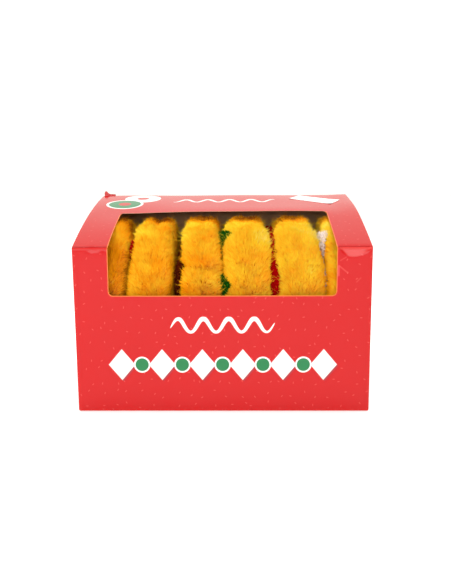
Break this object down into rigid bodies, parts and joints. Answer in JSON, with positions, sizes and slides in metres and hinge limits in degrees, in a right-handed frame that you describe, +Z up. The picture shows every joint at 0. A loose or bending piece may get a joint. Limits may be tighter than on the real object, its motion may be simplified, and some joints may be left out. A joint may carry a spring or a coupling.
{
  "type": "box of plush toy doughnuts",
  "caption": "Shut card carton with a cut-out window over its front and sloping lid, packed with stuffed plush toy ring doughnuts that stand on edge in a row.",
  "frame": {"origin": "middle of the carton's base, on the surface it stands on", "axes": "+X along the row of doughnuts to the right as seen from the front, +Y towards the back, +Z up"},
  "size_m": [0.203, 0.131, 0.1499],
  "materials": {
    "card": "gloss printed",
    "plush": "short pile plush",
    "icing_white": "short pile plush",
    "icing_red": "short pile plush",
    "icing_brown": "short pile plush",
    "icing_green": "short pile plush"
  },
  "bodies": {
    "root": {"carton": "card", "doughnut_1": "plush", "doughnut_2": "plush", "doughnut_3": "plush", "doughnut_4": "plush", "doughnut_5": "plush", "doughnut_6": "plush", "icing_1": "icing_white", "icing_2": "icing_red", "icing_3": "icing_brown", "icing_4": "icing_green", "icing_5": "icing_red", "icing_6": "icing_white"}
  },
  "joints": []
}
